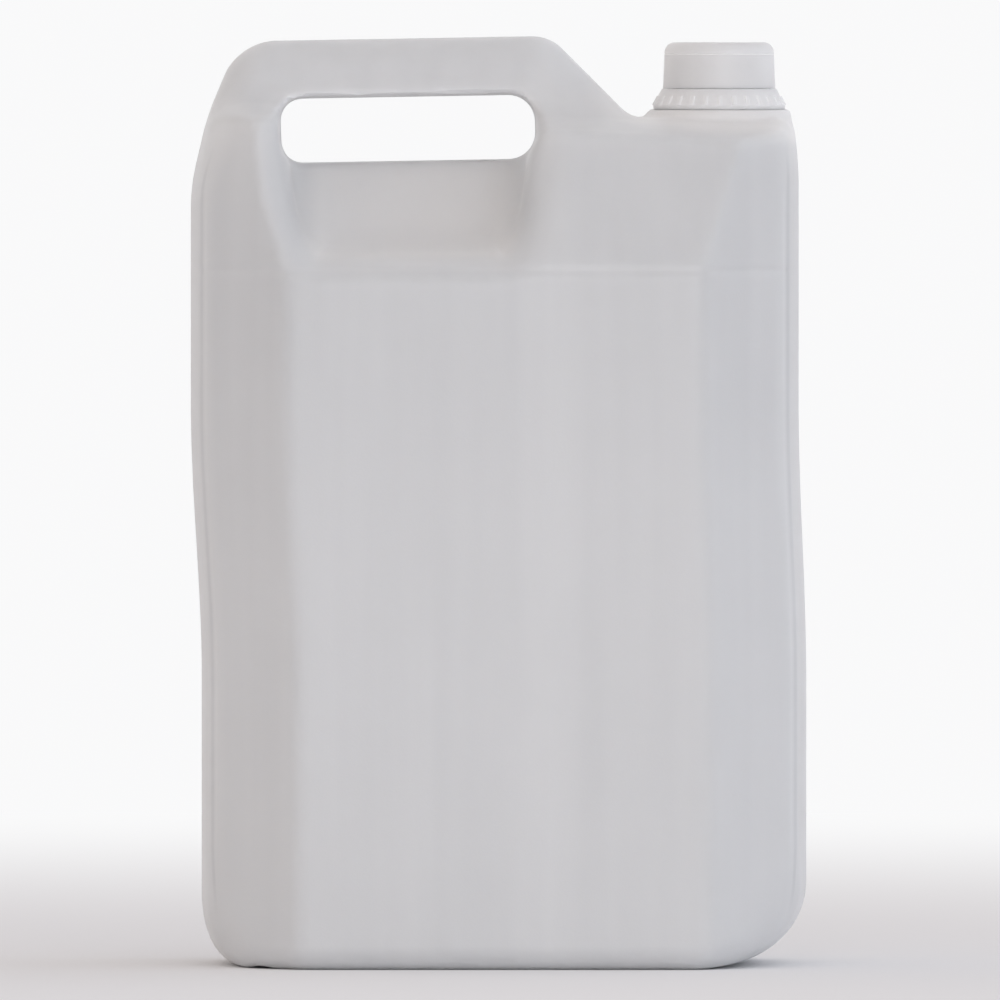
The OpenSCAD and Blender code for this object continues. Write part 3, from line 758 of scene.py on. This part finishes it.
def painted_shade(across, out, up):
    """Painted shade: how much darker the jug's wall is painted near the shoulder, and a dark line painted
    in the groove along the upright edges.
    """
    shoulder = (1 - fading(up, *SHOULDER_SHADE_FROM)) * fading(up, *SHOULDER_SHADE_TO)
    edge = fading((out.math("ABSOLUTE") - EDGE_SHADE_OUT * MM).math("ABSOLUTE"), *EDGE_SHADE_HALF)
    edge = edge * (1 - fading(across.math("ABSOLUTE"), *EDGE_SHADE_ACROSS))
    edge = edge * (1 - fading(up, *EDGE_SHADE_LOW)) * fading(up, *EDGE_SHADE_HIGH)
    return shoulder * SHOULDER_SHADE_SHARE + edge * EDGE_SHADE_SHARE


def plastic(name, dark, light, scatter, streaks, shine, glow=None):
    """Polyethylene: cloudy, with a painted highlight strip and streaks up the wall, a fine grain and
    scattered light.

    With a glow colour it also gets painted light in the pockets and at the neck's foot, and painted shade
    on the shoulder and along the upright edges.
    """
    material, tree = blank_material(name)
    place = Value.node(tree, "ShaderNodeTexCoord", output="Object")
    across, out, up = axes_of(place)
    # painted highlight: a lighter upright strip, brightest at its middle
    from_highlight = (across - HIGHLIGHT_MIDDLE * MM).math("ABSOLUTE") * (1 / (HIGHLIGHT_HALF * MM))
    band = (1 - from_highlight).math("MAXIMUM", 0.0)
    cloud = noise(tree, place, CLOUD_SCALE, 2.0)
    streak = noise(tree, place, STREAK_SCALE, 1.0, (1.0, 1.0, streaks))
    grain = noise(tree, place, GRAIN_SCALE, 0.0)
    peel = noise(tree, place, PEEL_SCALE, 0.0)
    share = cloud * CLOUD_SHARE + streak * STREAK_SHARE + band * HIGHLIGHT_SHARE
    if glow:
        # painted shade on the shoulder and along the upright edges
        share = share - painted_shade(across, out, up)
    colour = mixed(tree, share, dark, light)
    # painted light: the pockets and the neck's foot paler, as if lit from behind
    if glow:
        colour = mixed(tree, painted_backlight(across, out, up), colour, glow)
    bump = Value.node(tree, "ShaderNodeBump", None, {
        "Strength": 0.25, "Distance": 0.00012, "Height": grain * GRAIN_SHARE + peel * PEEL_SHARE,
    })
    shader = Value.node(tree, "ShaderNodeBsdfPrincipled", {"subsurface_method": "BURLEY"}, {
        "Base Color": colour,
        "Roughness": shine + cloud * CLOUD_ROUGHNESS,
        "IOR": 1.53,
        "Specular IOR Level": 0.5,
        "Subsurface Weight": 1.0,
        "Subsurface Radius": (1.0, 0.97, 0.94),
        "Subsurface Scale": scatter * MM,
        "Sheen Weight": 0.25,
        "Sheen Roughness": 0.35,
        "Normal": bump,
    })
    end_material(tree, shader)
    return material


def foam(name, dark, light):
    """Closed-cell foam: matt, with fine cells."""
    material, tree = blank_material(name)
    place = Value.node(tree, "ShaderNodeTexCoord", output="Object")
    cells = Value.node(tree, "ShaderNodeTexVoronoi", None, {"Vector": place, "Scale": CELL_SCALE})
    bump = Value.node(tree, "ShaderNodeBump", None, {"Strength": 0.4, "Distance": 0.0001, "Height": cells})
    shader = Value.node(tree, "ShaderNodeBsdfPrincipled", None, {
        "Base Color": mixed(tree, cells, dark, light),
        "Roughness": 0.8 - cells * CELL_ROUGHNESS,
        "Normal": bump,
    })
    end_material(tree, shader)
    return material


natural = plastic("natural_polyethylene", NATURAL_DARK, NATURAL_LIGHT, scatter=4.0, streaks=0.05,
                  shine=0.32, glow=PAINTED_GLOW_COLOUR)
pale = plastic("cap_polyethylene", PALE_DARK, PALE_LIGHT, scatter=3.0, streaks=0.5, shine=0.3)
liner = foam("wad_foam", FOAM_DARK, FOAM_LIGHT)


# Pieces

def dressed(piece, material, node, ride, sharp=SHARP_SKIN):
    """Gives a piece its material and edges, lets it stand for its node and ride on its body."""
    piece.data.materials.clear()
    piece.data.materials.append(material)
    piece.data.shade_smooth()
    piece.data.set_sharp_from_angle(angle=math.radians(sharp))
    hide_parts(node)
    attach(piece, ride)


def jug_shell(threads):
    """The jug: its skin with the neck, thread and mouth, hollow inside."""
    bead_radius = NECK_RADIUS + BEAD_REACH
    bead_z = ring_high[2] - BEAD_HEIGHT
    neck_foot = COLLAR_TOP - NECK_SUNK
    neck = turned("neck_tube", [
        (0, neck_foot, 0), (NECK_RADIUS, neck_foot, 0),
        (NECK_RADIUS, bead_z - BEAD_REACH, BEAD_ROOT_ROUND), (bead_radius, bead_z, BEAD_LOW_ROUND),
        (bead_radius, bead_z + BEAD_LAND, BEAD_TOP_ROUND), (NECK_RADIUS, ring_high[2], BEAD_ROOT_ROUND),
        (NECK_RADIUS, RIM_Z, RIM_ROUND), (0, RIM_Z, 0),
    ])
    thread = grown("neck_thread", threads, natural, turns=NECK_TURNS, pitch=THREAD_PITCH,
                   radius=NECK_RADIUS, reach=THREAD_REACH, sunk=THREAD_SUNK, root=THREAD_ROOT,
                   crest=THREAD_CREST, facing=0, start=0, foot=THREAD_FOOT, axis=NECK_X)
    bore_radius = COLLAR_RADIUS - WALL - (COLLAR_TOP - PLATFORM_Z)
    bore_foot, bore_top = PLATFORM_Z - BORE_SUNK, RIM_Z + BORE_PAST
    bore = turned("mouth_bore", [
        (0, bore_foot, 0), (bore_radius, bore_foot, 0), (bore_radius, PLATFORM_Z - WALL, BORE_ROUND),
        (MOUTH_RADIUS, COLLAR_TOP - WALL, BORE_ROUND), (MOUTH_RADIUS, bore_top, 0), (0, bore_top, 0),
    ])
    shell = skin_mesh("jug_shell", outer_skin, OUTER_LINES)
    shell = combined(shell, combined(neck, thread, "UNION"), "UNION")
    shell = combined(shell, skin_mesh("jug_inside", inner_skin, INNER_LINES), "DIFFERENCE")
    shell = combined(shell, bore, "DIFFERENCE")
    dressed(shell, natural, "bottle", "jug")


def screw_cap(threads):
    """The cap: a drawn skirt with a round top edge, a dished top with its gate mark, and a thread."""
    foot, top = cap_low[2], cap_high[2]
    outside = (cap_high[0] - cap_low[0]) / 2
    groove_z = top - CAP_EDGE - 2 * CAP_GROOVE
    side = outside - CAP_GROOVE_DRAW
    dish_z, gate_z = top - DISH_DEPTH, top - GATE_SINK
    cap = turned("screw_cap", [
        (CAP_BORE, foot, SOFT_ROUND), (outside, foot, CAP_FOOT_ROUND),
        (side, groove_z - CAP_GROOVE, FINE_ROUND), (side - CAP_GROOVE, groove_z, FINE_ROUND),
        (side, groove_z + CAP_GROOVE, FINE_ROUND), (outside - CAP_DRAW, top, CAP_EDGE),
        (DISH_RADIUS, top, DISH_ROUND), (DISH_RADIUS - DISH_WALL, dish_z, DISH_ROUND),
        (GATE_RADIUS, dish_z, GATE_ROUND), (GATE_TOP_RADIUS, gate_z, GATE_TOP_ROUND), (0, gate_z, 0),
        (0, wad_high[2], 0), (CAP_BORE, wad_high[2], CAP_INSIDE_ROUND),
    ])
    thread = grown("cap_thread", threads, pale, turns=CAP_TURNS, pitch=THREAD_PITCH, radius=CAP_BORE,
                   reach=THREAD_REACH, sunk=THREAD_SUNK, root=THREAD_ROOT, crest=THREAD_CREST,
                   facing=math.pi, start=2 * math.pi * CAP_START,
                   foot=CAP_THREAD_FOOT + THREAD_PITCH * CAP_START, axis=NECK_X)
    cap = combined(cap, thread, "UNION")
    dressed(cap, pale, "cap", "cap", SHARP_TRIM)


def tamper_band(studs):
    """The tamper ring: a tapered band that grips under the bead, with ribs and stubs of its bridges."""
    foot, top = COLLAR_TOP + RING_SEAT, cap_low[2] - RING_SEAT
    widest = foot + (top - foot) * RING_WIDEST
    lip_z = top - BEAD_HEIGHT - BEAD_REACH - RING_GAP
    lip_radius = NECK_RADIUS + RING_GAP * 2
    inside = RING_RADIUS - RING_WALL
    over_bead = NECK_RADIUS + BEAD_REACH + RING_GAP
    band = turned("tamper_band", [
        (inside, foot, SMALL_ROUND), (RING_RADIUS - RING_FOOT_EDGE, foot, FINE_ROUND),
        (RING_RADIUS, widest, RING_ROUND), (RING_TOP_RADIUS, top, FINE_ROUND),
        (over_bead, top, SMALL_ROUND), (over_bead, lip_z + LIP_RISE, SMALL_ROUND),
        (lip_radius, lip_z, RING_LIP_ROUND), (lip_radius, lip_z - LIP_DROP, RING_LIP_ROUND),
        (inside, foot + LIP_ROOT, RING_LIP_ROUND),
    ])
    taper = math.atan((RING_RADIUS - RING_TOP_RADIUS) / (top - widest))
    length = (top - widest) * RIB_SHARE
    ribs = grown("ring_ribs", studs, pale, count=RING_RIBS,
                 circle=RING_RADIUS - length / 2 * math.sin(taper),
                 height=widest + length / 2 * math.cos(taper), width=RIB_WIDTH, length=length,
                 reach=RIB_REACH, lean=taper, axis=NECK_X)
    stubs = grown("bridge_stubs", studs, pale, count=BRIDGES, circle=RING_TOP_RADIUS - STUB_INSET,
                  height=top, width=STUB_WIDTH, length=RING_SEAT * STUB_SEATS, reach=STUB_REACH, lean=0,
                  axis=NECK_X)
    band = combined(combined(band, ribs, "UNION"), stubs, "UNION")
    dressed(band, pale, "tamper_ring", "jug", SHARP_TRIM)


def wad_disc():
    """The foam disc between the cap and the neck's rim."""
    radius = (wad_high[0] - wad_low[0]) / 2
    foot, top = wad_low[2], wad_high[2]
    wad = turned("wad_disc", [
        (0, foot, 0), (radius, foot, SMALL_ROUND), (radius, top, SMALL_ROUND), (0, top, 0),
    ])
    dressed(wad, liner, "sealing_wad", "wad", SHARP_TRIM)


screw_threads = thread_tree()
ring_studs = studs_tree()
jug_shell(screw_threads)
screw_cap(screw_threads)
tamper_band(ring_studs)
wad_disc()


# Studio: a pale floor that fades into a white surround, three soft lamps and the camera

def floor_material():
    """Pale floor, which fades into the white surround away from the jug."""
    material, tree = blank_material("pale_floor")
    place = Value.node(tree, "ShaderNodeTexCoord", output="Object")
    length = {"operation": "LENGTH"}
    distance = Value.node(tree, "ShaderNodeVectorMath", length, {0: place}, output="Value")
    far = Value.node(tree, "ShaderNodeMapRange", {"interpolation_type": "SMOOTHSTEP"}, {
        "Value": distance, "From Min": FLOOR_NEAR, "From Max": FLOOR_FAR,
    })
    seen = Value.node(tree, "ShaderNodeLightPath", output="Is Camera Ray")
    near = Value.node(tree, "ShaderNodeBsdfDiffuse", None, {"Color": (*FLOOR_COLOUR, 1)})
    glow = Value.node(tree, "ShaderNodeEmission", None, {"Color": (*SURROUND_COLOUR, 1)})
    both = Value.node(tree, "ShaderNodeMixShader", None, {0: far * seen, 1: near, 2: glow})
    end_material(tree, both)
    return material


def floor():
    """Round floor under the jug."""
    turns = [2 * math.pi * k / FLOOR_SIDES for k in range(FLOOR_SIDES)]
    points = [(FLOOR_RADIUS * math.cos(a), FLOOR_RADIUS * math.sin(a), 0) for a in turns]
    made = mesh_object("floor", points, [list(range(FLOOR_SIDES))])
    made.data.materials.append(floor_material())


def surround():
    """World light: white where the camera or a reflection sees it, and softer where it lights the jug."""
    world = bpy.data.worlds.new("white_surround")
    bpy.context.scene.world = world
    world.use_nodes = True
    tree = world.node_tree
    tree.nodes.clear()
    paths = tree.nodes.new("ShaderNodeLightPath").outputs
    camera, glossy, passing = (
        Value(tree, paths[ray]) for ray in ("Is Camera Ray", "Is Glossy Ray", "Is Transmission Ray")
    )
    seen = (camera + glossy + passing).math("MINIMUM", 1.0)
    aside, _, height = axes_of(Value.node(tree, "ShaderNodeTexCoord", output="Generated"))
    above = height.math("MAXIMUM", 0.0) * (ZENITH_LIGHT - HORIZON_LIGHT)
    soft = HORIZON_LIGHT + above + aside * SIDE_LIGHT
    tint = mixed(tree, aside * 0.5 + 0.5, (*LEFT_TINT, 1), (*RIGHT_TINT, 1))
    strength = soft + seen * (1 - soft)
    colour = mixed(tree, seen, tint, (*SURROUND_COLOUR, 1))
    light = Value.node(tree, "ShaderNodeBackground", None, {"Color": colour, "Strength": strength})
    tree.links.new(light.socket, tree.nodes.new("ShaderNodeOutputWorld").inputs["Surface"])


def soft_lamp(name, place, watts, colour):
    """Square area lamp that faces the jug."""
    data = bpy.data.lights.new(name, "AREA")
    data.shape = "SQUARE"
    data.size = LAMP_SIZE
    data.energy = watts
    data.color = colour
    lamp = bpy.data.objects.new(name, data)
    lamp.location = place
    lamp.rotation_euler = (Vector(LAMP_AIM) - Vector(place)).to_track_quat("-Z", "Y").to_euler()
    bpy.context.scene.collection.objects.link(lamp)


def photo_camera():
    """Long lens at the photo's angle; the picture's width and middle are those at the jug's middle."""
    data = bpy.data.cameras.new("photo_camera")
    data.sensor_width = CAMERA_SENSOR
    data.lens = CAMERA_SENSOR * CAMERA_DISTANCE / PICTURE_WIDTH
    data.clip_end = CAMERA_END
    camera = bpy.data.objects.new("photo_camera", data)
    back = Vector((0, -math.cos(CAMERA_RISE), math.sin(CAMERA_RISE)))
    camera.location = Vector(PICTURE_MIDDLE) + back * CAMERA_DISTANCE
    camera.rotation_euler = (-back).to_track_quat("-Z", "Y").to_euler()
    bpy.context.scene.collection.objects.link(camera)
    bpy.context.scene.camera = camera


floor()
surround()
for lamp in LAMPS:
    soft_lamp(*lamp)
photo_camera()
bpy.context.scene.view_settings.view_transform = "Standard"
